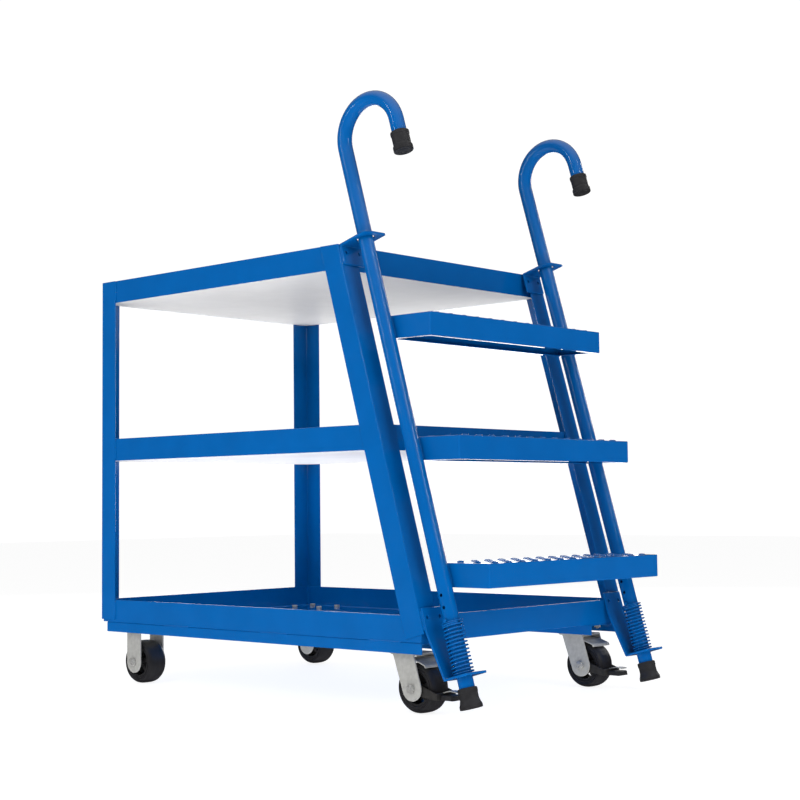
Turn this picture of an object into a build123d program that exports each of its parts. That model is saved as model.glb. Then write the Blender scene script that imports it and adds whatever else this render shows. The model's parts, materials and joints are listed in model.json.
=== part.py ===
"""Stock-picking shelf cart with a spring-loaded ladder at one end.

Millimetres, +Z up, +X to the climber's right, the ladder end towards -Y.
The origin is on the floor, in the middle of the overall length and width.
"""
from build123d import *
import math
import os

os.makedirs("parts", exist_ok=True)

# ------------------------------------------------------------------ driving dimensions
WIDTH = 695.0             # across the outer faces of the four corner posts
TOP_LENGTH = 809.5        # rear face to the slanted posts, at the top shelf's edge
TOP_SHELF = 967.0         # upper edges of the upper two rims, above the floor
MIDDLE_SHELF = 584.0
LEAN = 15.94              # front posts and ladder, degrees back from the vertical

RIM_HEIGHT = 53.0
SHEET = 2.7               # rims, tray and steps
DECK = 2.0                # upper shelves' deck panels
ANGLE_LEG = 50.8          # corner posts are rolled angle
ANGLE_WALL = 3.2
REAR_POST_FOOT = 5.5      # posts' feet above the tray's underside
FRONT_POST_FOOT = 19.0

CHANNEL_WIDTH = 114.0     # inverted channels that the casters bolt into
CHANNEL_HEIGHT = 23.5
CHANNEL_WALL = 3.0
CHANNEL_INSET = 1.0
CHANNEL_REAR_GAP = 17.0

TUBE_OD = 31.75
TUBE_WALL = 2.0
TUBE_INSET = 36.1         # ladder tubes' axes inside the posts' outer faces
TUBE_AHEAD = 48.2         # tube axis in front of the post faces, square to them
HOOK_RADIUS = 76.2
HOOK_START = 1221.0       # heights with this kind of value run along the tube's axis
HOOK_LEG = 70.0
CAP_LENGTH = 43.0
CAP_END = 4.0
CAP_WALL = 3.1
CAP_FLARE = 2.0           # how far the cap's and the foot's lower ends stand out
FOOT_BOTTOM = 23.3
FOOT_LENGTH = 40.5
FOOT_SOLE = 8.0
FOOT_WALL = 3.1
FOOT_FLARE = 4.0
RUBBER_FIT = 0.05
SPARE_PIN_HOLES = (224.6, 249.6)
SPARE_PIN_RADIUS = 3.4

STEP_TOPS = {"lower_step": 302.5, "middle_step": 556.4, "upper_step": 810.3}
STEP_REACH = 116.3        # front face ahead of the tube axis
STEP_DEPTH = 122.0
STEP_HEIGHT = 48.4
STEP_LIP = 14.0
GRIP_PITCH_X = 43.0
GRIP_PITCH_Y = 22.0
GRIP_RADIUS = 8.0
GRIP_HEIGHT = 3.0
GRIP_TAPER = 35           # degrees
GRIP_HOLE = 4.0

PLATE = 5.0               # ladder brackets
PLATE_WIDTH = 63.0
TOP_PLATE_LEG = 48.0
TOP_FLANGE = 78.0
TOP_GUIDE_PLAY = 2.6      # guide holes, round the tube
LOW_PLATE_ABOVE = 15.5    # lower bracket's top edge above the tray's edge
LOW_PLATE_STRAIGHT = 48.9
SPRING_GAP = 1.5          # kinked leg behind the spring, at the leg's foot
LOW_FLANGE = 84.8         # underside of the lower flange
LOW_FLANGE_TIP = 33.0
LOW_GUIDE_PLAY = 1.6
BRACKET_HOLE_SPACING = 38.0
BRACKET_HOLE_RADIUS = 3.5
BRACKET_HOLE_DROP = 20.0

SPRING_WIRE = 3.6
SPRING_PLAY = 2.5         # inside of the coils, round the tube
SPRING_TURNS = 12
SPRING_TOP = 193.8
WASHER = 2.0
PIN_RADIUS = 3.0
PIN_LENGTH = 46.0

WHEEL = 101.6
WHEEL_WIDTH = 50.8
WHEEL_SHOULDER = 10.0
TYRE_WALL = 14.8
RIM_WALL = 5.0
RIM_INSET = 3.4           # hub's rim inside the tyre's faces
HUB_RADIUS = 13.0
HUB_PROUD = 1.1           # hub's sleeve past the tyre's faces
SPOKES = 5
SPOKE_WIDTH = 9.0
SPOKE_DEPTH = 26.0
AXLE_RADIUS = 6.35
RUNNING_FIT = 0.05
BOLT_HEAD = 10.0          # across the corners, halved
CASTER_CLEAR = 40.9       # wheel's top to the top of the mounting plate
CASTER_PLATE_X = 101.6
CASTER_PLATE_Y = 114.3
CASTER_PLATE = 4.0
CASTER_BOLT_X = 66.7
CASTER_BOLT_Y = 92.1
CASTER_BOLT_RADIUS = 4.0
REAR_AXLE_INSET = 92.0    # rear axle ahead of the cart's rear face
FRONT_AXLE_INSET = 982.0
TRAIL = 46.0
FORK_GAP = 6.6            # between the tyre and a fork leg
FORK_WALL = 4.0
FORK_LEG = 25.0           # half the leg's width, and its rounded end's radius
FORK_SPREAD = 3.0         # front fork's legs widen towards the crown
CROWN = 4.5
RACE_RADIUS = 31.0
RACE_HEIGHT = 9.0
RACE_TAPER = 12           # degrees
SEAL_RADIUS = 32.0
SEAL_HEIGHT = 8.0
KINGPIN_RADIUS = 7.0
KINGPIN_HEAD = 5.0        # height, and how far it stands out
WORKING_GAP = 0.4
SPACER_RADIUS = 10.0
SPACER_GAP = 0.5
AXLE_OVERHANG = 9.0
AXLE_NUT = 7.0
COVER_REACH = 32.0        # brake cover, from the axle to its front edge
COVER_GAP = 9.7
COVER_DROPS = (5.0, 8.0)  # below the crown, over the leg's middle and over the wheel
COVER_START = 8.0
COVER_LIP = (3.0, 6.0)
COVER_WALL = 2.5

BRAKE_ARM = 3.0
BRAKE_ARM_GAP = 1.1
BRAKE_BOSS = 13.0         # arm's radius round the wheel bolt
BRAKE_BAR = 4.0
TAB = 2.2
TAB_RISE = 4.2
TAB_DROP = 2.0
PAD_GAP = 13.2            # pad in front of the tyre
PAD_DEPTH = 28.0
PAD_WIDTH = 38.0
PAD_DROP = 19.8           # pad's underside below the axle
PAD_HEIGHT = 14.0
PAD_THICK = 10.0
CASTER_BOLT_HEAD = 7.5    # across the corners, halved
CASTER_BOLT_HEAD_HEIGHT = 5.3
CASTER_NUT = 6.5
CASTER_BOLT_SHOWS = 2.0   # past the nut

# ------------------------------------------------------------------ worked-out places
TUBE_RADIUS = TUBE_OD / 2
TUBE_X = WIDTH / 2 - TUBE_INSET
CAP_RADIUS = TUBE_RADIUS + RUBBER_FIT + CAP_WALL
FOOT_RADIUS = TUBE_RADIUS + RUBBER_FIT + FOOT_WALL
SPRING_RADIUS = TUBE_RADIUS + SPRING_PLAY + SPRING_WIRE
LOW_PLATE_BACK = SPRING_RADIUS + SPRING_GAP + PLATE
SIN = math.sin(math.radians(LEAN))
COS = math.cos(math.radians(LEAN))
TAN = SIN / COS
LOWEST_STEP = min(STEP_TOPS.values())
LENGTH = TOP_LENGTH + TUBE_AHEAD / COS + (TOP_SHELF - LOWEST_STEP) * TAN + STEP_REACH
REAR = LENGTH / 2
AXLE_Z = WHEEL / 2
CASTER_HEIGHT = WHEEL + CASTER_CLEAR
TRAY_BOTTOM = CASTER_HEIGHT + CHANNEL_WALL
BOTTOM_TRAY = TRAY_BOTTOM + RIM_HEIGHT
RIM_OUTER = WHEEL / 2 - TYRE_WALL
RIM_INNER = RIM_OUTER - RIM_WALL
RIM_WIDTH = WHEEL_WIDTH - 2 * RIM_INSET
HUB_LENGTH = WHEEL_WIDTH + 2 * HUB_PROUD
FORK_HALF = WHEEL_WIDTH / 2 + FORK_GAP + FORK_WALL
REAR_AXLE_Y = REAR - REAR_AXLE_INSET
FRONT_AXLE_Y = REAR - FRONT_AXLE_INSET
KINGPIN_Y = FRONT_AXLE_Y + TRAIL
SHELF_WIDTH = WIDTH - 2 * ANGLE_WALL
CASTER_X = SHELF_WIDTH / 2 - CHANNEL_INSET - CHANNEL_WIDTH / 2
SIDES = {"left": -1, "right": 1}


def post_y(z):
    """Front face of the slanted posts at height z."""
    return REAR - TOP_LENGTH - (TOP_SHELF - z) * TAN


def tube_y(z):
    """Ladder tubes' axis at height z."""
    return post_y(z) - TUBE_AHEAD / COS


def along(z, behind):
    """Distance along the tube to height z, on a line that far behind the axis."""
    return (z + behind * SIN) / COS


def band(points, thickness):
    """Closed outline of a bent strip: the points, and the same line set off to the left."""
    normals = []
    for (x1, y1), (x2, y2) in zip(points, points[1:]):
        length = math.hypot(x2 - x1, y2 - y1)
        normals.append(((y1 - y2) / length, (x2 - x1) / length))
    pairs = zip([normals[0]] + normals, normals + [normals[-1]])
    other = []
    for (x, y), ((ax, ay), (bx, by)) in zip(points, pairs):
        reach = thickness / (1 + ax * bx + ay * by)
        other.append((x + (ax + bx) * reach, y + (ay + by) * reach))
    return points + other[::-1] + points[:1]


# SLANT looks down the tubes: x across, y square to them towards the rear, z up along them.
SLANT = Plane(origin=(0, tube_y(0), 0), x_dir=(1, 0, 0), z_dir=(0, SIN, COS))
# PROFILE is the slanted frame seen from the side: x towards the rear, y up along the tubes.
PROFILE = Plane(origin=SLANT.origin, x_dir=(0, COS, -SIN), z_dir=(1, 0, 0))
# FACE looks square at the ladder: x across, y up along the tubes, its normal to the front.
FACE = Plane(origin=SLANT.origin, x_dir=(1, 0, 0), z_dir=(0, -COS, SIN))

# ------------------------------------------------------------------ shelves
for shelf, top in (("top_shelf", TOP_SHELF), ("middle_shelf", MIDDLE_SHELF)):
    back = REAR - ANGLE_WALL
    front = post_y(top) + ANGLE_WALL / COS
    middle = (back + front) / 2
    length = back - front
    underside = top - RIM_HEIGHT

    with BuildPart() as rim:
        with BuildSketch(Plane.XY.offset(underside)):
            with Locations((0, middle)):
                Rectangle(SHELF_WIDTH, length)
                Rectangle(SHELF_WIDTH - 2 * SHEET, length - 2 * SHEET, mode=Mode.SUBTRACT)
        extrude(amount=RIM_HEIGHT)
    rim.part.label = f"{shelf}_rim"
    export_step(rim.part, f"parts/{shelf}_rim.step")

    with BuildPart() as deck:
        with BuildSketch(Plane.XY.offset(underside)):
            with Locations((0, middle)):
                Rectangle(SHELF_WIDTH - 2 * SHEET, length - 2 * SHEET)
        extrude(amount=DECK)
    deck.part.label = f"{shelf}_deck"
    export_step(deck.part, f"parts/{shelf}_deck.step")

CASTERS = [(s * CASTER_X, y) for s in SIDES.values() for y in (REAR_AXLE_Y, KINGPIN_Y)]
BOLT_SPOTS = [
    (x + dx * CASTER_BOLT_X / 2, y + dy * CASTER_BOLT_Y / 2)
    for x, y in CASTERS
    for dx in (-1, 1)
    for dy in (-1, 1)
]

tray_back = REAR - ANGLE_WALL
tray_front = post_y(BOTTOM_TRAY)
tray_middle = (tray_back + tray_front) / 2
tray_length = tray_back - tray_front
with BuildPart() as bottom_tray:
    with BuildSketch(Plane.XY.offset(TRAY_BOTTOM)):
        with Locations((0, tray_middle)):
            Rectangle(SHELF_WIDTH, tray_length)
    extrude(amount=RIM_HEIGHT)
    with BuildSketch(Plane.XY.offset(TRAY_BOTTOM + SHEET)):
        with Locations((0, tray_middle)):
            Rectangle(SHELF_WIDTH - 2 * SHEET, tray_length - 2 * SHEET)
    extrude(amount=RIM_HEIGHT, mode=Mode.SUBTRACT)
    with BuildSketch(Plane.XY.offset(TRAY_BOTTOM)):
        with Locations(*BOLT_SPOTS):
            Circle(CASTER_BOLT_RADIUS + RUNNING_FIT)
    extrude(amount=SHEET, mode=Mode.SUBTRACT)
bottom_tray.part.label = "bottom_tray"
export_step(bottom_tray.part, "parts/bottom_tray.step")

# ------------------------------------------------------------------ posts and caster rails
post_foot = along(TRAY_BOTTOM + FRONT_POST_FOOT, TUBE_AHEAD)
for side, s in SIDES.items():
    with BuildPart() as rear_post:
        with BuildSketch(Plane.XY.offset(TRAY_BOTTOM + REAR_POST_FOOT)):
            with Locations((s * (WIDTH - ANGLE_WALL) / 2, REAR - ANGLE_LEG / 2)):
                Rectangle(ANGLE_WALL, ANGLE_LEG)
            with Locations((s * (WIDTH - ANGLE_LEG) / 2, REAR - ANGLE_WALL / 2)):
                Rectangle(ANGLE_LEG, ANGLE_WALL)
        extrude(amount=TOP_SHELF - TRAY_BOTTOM - REAR_POST_FOOT)
    rear_post.part.label = f"rear_post_{side}"
    export_step(rear_post.part, f"parts/rear_post_{side}.step")

    with BuildPart() as front_post:
        with BuildSketch(SLANT.offset(post_foot)):
            with Locations((s * (WIDTH - ANGLE_WALL) / 2, TUBE_AHEAD + ANGLE_LEG / 2)):
                Rectangle(ANGLE_WALL, ANGLE_LEG)
            with Locations((s * (WIDTH - ANGLE_LEG) / 2, TUBE_AHEAD + ANGLE_WALL / 2)):
                Rectangle(ANGLE_LEG, ANGLE_WALL)
        extrude(amount=along(TOP_SHELF, TUBE_AHEAD + ANGLE_LEG) - post_foot + ANGLE_WALL)
        split(bisect_by=Plane.XY.offset(TOP_SHELF), keep=Keep.BOTTOM)
        # The front flange ends on the tray's upper edge; the side flange runs on past it.
        with BuildSketch(Plane.XY.offset(BOTTOM_TRAY)):
            with Locations((s * (WIDTH / 2 - ANGLE_WALL - ANGLE_LEG), tray_front)):
                Rectangle(2 * ANGLE_LEG, 2 * ANGLE_LEG)
        extrude(amount=-RIM_HEIGHT, mode=Mode.SUBTRACT)
    front_post.part.label = f"front_post_{side}"
    export_step(front_post.part, f"parts/front_post_{side}.step")

    rail_x = s * CASTER_X
    rail_back = REAR - CHANNEL_REAR_GAP
    with BuildPart() as caster_rail:
        with BuildSketch(Plane.XZ.offset(-rail_back)):
            with Locations((rail_x, TRAY_BOTTOM - CHANNEL_HEIGHT / 2)):
                Rectangle(CHANNEL_WIDTH, CHANNEL_HEIGHT)
            with Locations((rail_x, TRAY_BOTTOM - CHANNEL_WALL - CHANNEL_HEIGHT / 2)):
                Rectangle(CHANNEL_WIDTH - 2 * CHANNEL_WALL, CHANNEL_HEIGHT, mode=Mode.SUBTRACT)
        extrude(amount=rail_back - tray_front)
        corners = caster_rail.edges().filter_by(Axis.Y).group_by(Axis.Z)[-1]
        fillet(corners, radius=CHANNEL_WALL)
        with BuildSketch(Plane.XY.offset(TRAY_BOTTOM)):
            with Locations(*[spot for spot in BOLT_SPOTS if spot[0] * s > 0]):
                Circle(CASTER_BOLT_RADIUS + RUNNING_FIT)
        extrude(amount=-CHANNEL_WALL, mode=Mode.SUBTRACT)
    caster_rail.part.label = f"caster_rail_{side}"
    export_step(caster_rail.part, f"parts/caster_rail_{side}.step")

# ------------------------------------------------------------------ ladder brackets
top_edge = along(TOP_SHELF, TUBE_AHEAD)
low_plate_top = along(BOTTOM_TRAY + LOW_PLATE_ABOVE, TUBE_AHEAD)
for side, s in SIDES.items():
    hole_xs = [s * TUBE_X + step * BRACKET_HOLE_SPACING / 2 for step in (-1, 1)]

    with BuildPart() as top_bracket:
        with BuildSketch(PROFILE.offset(s * TUBE_X - PLATE_WIDTH / 2)):
            with BuildLine():
                Polyline(*band([
                    (TUBE_AHEAD - TOP_FLANGE, top_edge),
                    (TUBE_AHEAD, top_edge),
                    (TUBE_AHEAD, top_edge - TOP_PLATE_LEG),
                ], -PLATE))
            make_face()
        extrude(amount=PLATE_WIDTH)
        with BuildSketch(SLANT.offset(top_edge - PLATE)):
            with Locations((s * TUBE_X, 0)):
                Circle(TUBE_RADIUS + TOP_GUIDE_PLAY)
        extrude(amount=PLATE, mode=Mode.SUBTRACT)
        with BuildSketch(FACE.offset(-TUBE_AHEAD)):
            with Locations(*[(x, top_edge - BRACKET_HOLE_DROP) for x in hole_xs]):
                Circle(BRACKET_HOLE_RADIUS)
        extrude(amount=PLATE, mode=Mode.SUBTRACT)
    top_bracket.part.label = f"top_bracket_{side}"
    export_step(top_bracket.part, f"parts/top_bracket_{side}.step")

    with BuildPart() as bottom_bracket:
        with BuildSketch(PROFILE.offset(s * TUBE_X - PLATE_WIDTH / 2)):
            with BuildLine():
                Polyline(*band([
                    (TUBE_AHEAD, low_plate_top),
                    (TUBE_AHEAD, low_plate_top - LOW_PLATE_STRAIGHT),
                    (LOW_PLATE_BACK, LOW_FLANGE),
                    (-LOW_FLANGE_TIP, LOW_FLANGE),
                ], -PLATE))
            make_face()
        extrude(amount=PLATE_WIDTH)
        with BuildSketch(SLANT.offset(LOW_FLANGE)):
            with Locations((s * TUBE_X, 0)):
                Circle(TUBE_RADIUS + LOW_GUIDE_PLAY)
        extrude(amount=PLATE, mode=Mode.SUBTRACT)
        with BuildSketch(FACE.offset(-TUBE_AHEAD)):
            with Locations(*[(x, low_plate_top - BRACKET_HOLE_DROP) for x in hole_xs]):
                Circle(BRACKET_HOLE_RADIUS)
        extrude(amount=PLATE, mode=Mode.SUBTRACT)
    bottom_bracket.part.label = f"bottom_bracket_{side}"
    export_step(bottom_bracket.part, f"parts/bottom_bracket_{side}.step")

# ------------------------------------------------------------------ ladder
tube_end = FOOT_BOTTOM + FOOT_SOLE
pin_height = SPRING_TOP + WASHER + PIN_RADIUS
for side, s in SIDES.items():
    with BuildPart() as ladder_rail:
        with BuildLine(PROFILE.offset(s * TUBE_X)) as run:
            Line((0, tube_end), (0, HOOK_START))
            ThreePointArc((0, HOOK_START), (-HOOK_RADIUS, HOOK_START + HOOK_RADIUS),
                          (-2 * HOOK_RADIUS, HOOK_START))
            Line((-2 * HOOK_RADIUS, HOOK_START), (-2 * HOOK_RADIUS, HOOK_START - HOOK_LEG))
        with BuildSketch(SLANT.offset(tube_end)):
            with Locations((s * TUBE_X, 0)):
                Circle(TUBE_RADIUS)
                Circle(TUBE_RADIUS - TUBE_WALL, mode=Mode.SUBTRACT)
        sweep(path=run.wires()[0])
        with BuildSketch(PROFILE.offset(s * TUBE_X - TUBE_OD)):
            with Locations(*[(0, height) for height in SPARE_PIN_HOLES]):
                Circle(SPARE_PIN_RADIUS)
            with Locations((0, pin_height)):
                Circle(PIN_RADIUS)
        extrude(amount=2 * TUBE_OD, mode=Mode.SUBTRACT)
    ladder_rail.part.label = f"ladder_rail_{side}"
    export_step(ladder_rail.part, f"parts/ladder_rail_{side}.step")

    with BuildPart() as hook_cap:
        cap_low = HOOK_START - HOOK_LEG - CAP_END
        with BuildSketch(PROFILE.offset(s * TUBE_X)):
            with BuildLine():
                Polyline(
                    (-2 * HOOK_RADIUS, cap_low),
                    (-2 * HOOK_RADIUS - CAP_RADIUS - CAP_FLARE, cap_low),
                    (-2 * HOOK_RADIUS - CAP_RADIUS - CAP_FLARE, cap_low + CAP_LENGTH / 4),
                    (-2 * HOOK_RADIUS - CAP_RADIUS, cap_low + CAP_LENGTH / 2),
                    (-2 * HOOK_RADIUS - CAP_RADIUS, cap_low + CAP_LENGTH),
                    (-2 * HOOK_RADIUS - TUBE_RADIUS - RUBBER_FIT, cap_low + CAP_LENGTH),
                    (-2 * HOOK_RADIUS - TUBE_RADIUS - RUBBER_FIT, cap_low + CAP_END),
                    (-2 * HOOK_RADIUS, cap_low + CAP_END),
                    (-2 * HOOK_RADIUS, cap_low),
                )
            make_face()
        revolve(axis=Axis(PROFILE.offset(s * TUBE_X).from_local_coords((-2 * HOOK_RADIUS, 0)),
                          SLANT.z_dir))
    hook_cap.part.label = f"hook_cap_{side}"
    export_step(hook_cap.part, f"parts/hook_cap_{side}.step")

    with BuildPart() as ladder_foot:
        with BuildSketch(PROFILE.offset(s * TUBE_X)):
            with BuildLine():
                Polyline(
                    (0, FOOT_BOTTOM),
                    (FOOT_RADIUS + FOOT_FLARE, FOOT_BOTTOM),
                    (FOOT_RADIUS + FOOT_FLARE, FOOT_BOTTOM + FOOT_SOLE),
                    (FOOT_RADIUS, FOOT_BOTTOM + FOOT_LENGTH / 2),
                    (FOOT_RADIUS, FOOT_BOTTOM + FOOT_LENGTH),
                    (TUBE_RADIUS + RUBBER_FIT, FOOT_BOTTOM + FOOT_LENGTH),
                    (TUBE_RADIUS + RUBBER_FIT, tube_end),
                    (0, tube_end),
                    (0, FOOT_BOTTOM),
                )
            make_face()
        revolve(axis=Axis(PROFILE.offset(s * TUBE_X).origin, SLANT.z_dir))
    ladder_foot.part.label = f"ladder_foot_{side}"
    export_step(ladder_foot.part, f"parts/ladder_foot_{side}.step")

    spring_low = LOW_FLANGE + PLATE + SPRING_WIRE / 2
    spring_height = SPRING_TOP - spring_low - SPRING_WIRE / 2
    with BuildPart() as ladder_spring:
        with BuildLine():
            coil = Helix(
                pitch=spring_height / SPRING_TURNS,
                height=spring_height,
                radius=SPRING_RADIUS - SPRING_WIRE / 2,
                center=SLANT.from_local_coords((s * TUBE_X, 0, spring_low)),
                direction=SLANT.z_dir,
            )
        with BuildSketch(Plane(coil @ 0, z_dir=coil % 0)):
            Circle(SPRING_WIRE / 2)
        sweep(path=coil)
    ladder_spring.part.label = f"ladder_spring_{side}"
    export_step(ladder_spring.part, f"parts/ladder_spring_{side}.step")

    with BuildPart() as spring_washer:
        with BuildSketch(SLANT.offset(SPRING_TOP)):
            with Locations((s * TUBE_X, 0)):
                Circle(SPRING_RADIUS)
                Circle(TUBE_RADIUS + RUBBER_FIT, mode=Mode.SUBTRACT)
        extrude(amount=WASHER)
    spring_washer.part.label = f"spring_washer_{side}"
    export_step(spring_washer.part, f"parts/spring_washer_{side}.step")

    with BuildPart() as spring_pin:
        with BuildSketch(PROFILE.offset(s * TUBE_X - PIN_LENGTH / 2)):
            with Locations((0, pin_height)):
                Circle(PIN_RADIUS)
        extrude(amount=PIN_LENGTH)
    spring_pin.part.label = f"spring_pin_{side}"
    export_step(spring_pin.part, f"parts/spring_pin_{side}.step")

STEP_WIDTH = 2 * TUBE_X - TUBE_OD
GRIP_COLUMNS = int(STEP_WIDTH / GRIP_PITCH_X)
GRIP_ROWS = int(STEP_DEPTH / GRIP_PITCH_Y)
for name, top in STEP_TOPS.items():
    step_middle = tube_y(top) - STEP_REACH + STEP_DEPTH / 2
    grips = []
    for row in range(GRIP_ROWS):
        count = GRIP_COLUMNS - row % 2
        for column in range(count):
            grips.append(((column - (count - 1) / 2) * GRIP_PITCH_X,
                          step_middle + (row - (GRIP_ROWS - 1) / 2) * GRIP_PITCH_Y))
    with BuildPart() as step:
        with BuildSketch(Plane.XY.offset(top - STEP_HEIGHT)):
            with Locations((0, step_middle)):
                Rectangle(STEP_WIDTH, STEP_DEPTH)
        extrude(amount=STEP_HEIGHT)
        with BuildSketch(Plane.XY.offset(top)):
            with Locations(*grips):
                Circle(GRIP_RADIUS)
        extrude(amount=GRIP_HEIGHT, taper=GRIP_TAPER)
        with BuildSketch(Plane.XY.offset(top - STEP_HEIGHT + SHEET)):
            with Locations((0, step_middle)):
                Rectangle(STEP_WIDTH - 2 * SHEET, STEP_DEPTH - 2 * SHEET)
        extrude(amount=STEP_HEIGHT - 2 * SHEET, mode=Mode.SUBTRACT)
        with BuildSketch(Plane.XY.offset(top - STEP_HEIGHT)):
            with Locations((0, step_middle)):
                Rectangle(STEP_WIDTH - 2 * STEP_LIP, STEP_DEPTH - 2 * STEP_LIP)
        extrude(amount=SHEET, mode=Mode.SUBTRACT)
        with BuildSketch(Plane.XY.offset(top + GRIP_HEIGHT)):
            with Locations(*grips):
                Circle(GRIP_HOLE)
        extrude(amount=-GRIP_HEIGHT - SHEET, mode=Mode.SUBTRACT)
    step.part.label = name
    export_step(step.part, f"parts/{name}.step")

# ------------------------------------------------------------------ casters
PLATE_LOW = CASTER_HEIGHT - CASTER_PLATE
crown_top = PLATE_LOW - RACE_HEIGHT - SEAL_HEIGHT - 2 * WORKING_GAP
crown_low = crown_top - CROWN
cover_height = AXLE_Z + math.sqrt((WHEEL / 2) ** 2 - COVER_REACH ** 2) + COVER_GAP
pad_low = AXLE_Z - PAD_DROP
pad_top = pad_low + PAD_HEIGHT
brake_arm_x = WHEEL_WIDTH / 2 + BRAKE_ARM_GAP + BRAKE_ARM / 2


def bolt_holes(height, depth, spots):
    """Clearance holes for the caster bolts, down from a height."""
    with BuildSketch(Plane.XY.offset(height)) as holes:
        with Locations(*spots):
            Circle(CASTER_BOLT_RADIUS + RUNNING_FIT)
    extrude(holes.sketch, amount=-depth, mode=Mode.SUBTRACT)


def axle_bolt(x, y):
    """Wheel bolt with a head, a nut and two spacers, along X through a fork."""
    half = FORK_HALF + AXLE_OVERHANG
    with BuildSketch(Plane.YZ.offset(x - half)) as shank:
        with Locations((y, AXLE_Z)):
            Circle(AXLE_RADIUS)
    extrude(shank.sketch, amount=2 * half)
    for start in (x - FORK_HALF - AXLE_NUT, x + FORK_HALF):
        with BuildSketch(Plane.YZ.offset(start)) as hexagon:
            with Locations((y, AXLE_Z)):
                RegularPolygon(radius=BOLT_HEAD, side_count=6)
        extrude(hexagon.sketch, amount=AXLE_NUT)


def spacers(x, y, inner, outer):
    """A ring on each side of the wheel, between these distances from its middle."""
    for start in (x - outer, x + inner):
        with BuildSketch(Plane.YZ.offset(start)) as ring:
            with Locations((y, AXLE_Z)):
                Circle(SPACER_RADIUS)
        extrude(ring.sketch, amount=outer - inner)


def wheel(end, side, x, y):
    """Spoked hub and its solid rubber tyre."""
    with BuildPart() as hub:
        with BuildSketch(Plane.YZ.offset(x - RIM_WIDTH / 2)):
            with Locations((y, AXLE_Z)):
                Circle(RIM_OUTER)
                Circle(RIM_INNER, mode=Mode.SUBTRACT)
        extrude(amount=RIM_WIDTH)
        with BuildSketch(Plane.YZ.offset(x - SPOKE_DEPTH / 2)):
            with Locations((y, AXLE_Z)):
                with PolarLocations((HUB_RADIUS + RIM_INNER) / 2, SPOKES, start_angle=90):
                    Rectangle(RIM_INNER - HUB_RADIUS + RIM_WALL, SPOKE_WIDTH)
        extrude(amount=SPOKE_DEPTH)
        with BuildSketch(Plane.YZ.offset(x - HUB_LENGTH / 2)):
            with Locations((y, AXLE_Z)):
                Circle(HUB_RADIUS)
        extrude(amount=HUB_LENGTH)
        with BuildSketch(Plane.YZ.offset(x - HUB_LENGTH / 2)):
            with Locations((y, AXLE_Z)):
                Circle(AXLE_RADIUS + RUNNING_FIT)
        extrude(amount=HUB_LENGTH, mode=Mode.SUBTRACT)
    hub.part.label = f"{end}_hub_{side}"
    export_step(hub.part, f"parts/{end}_hub_{side}.step")

    with BuildPart() as tyre:
        with BuildSketch(Plane.YZ.offset(x - WHEEL_WIDTH / 2)):
            with Locations((y, AXLE_Z)):
                Circle(WHEEL / 2)
        extrude(amount=WHEEL_WIDTH)
        fillet(tyre.edges(), radius=WHEEL_SHOULDER)
        with BuildSketch(Plane.YZ.offset(x - WHEEL_WIDTH / 2)):
            with Locations((y, AXLE_Z)):
                Circle(RIM_OUTER)
        extrude(amount=WHEEL_WIDTH, mode=Mode.SUBTRACT)
    tyre.part.label = f"{end}_tyre_{side}"
    export_step(tyre.part, f"parts/{end}_tyre_{side}.step")


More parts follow.
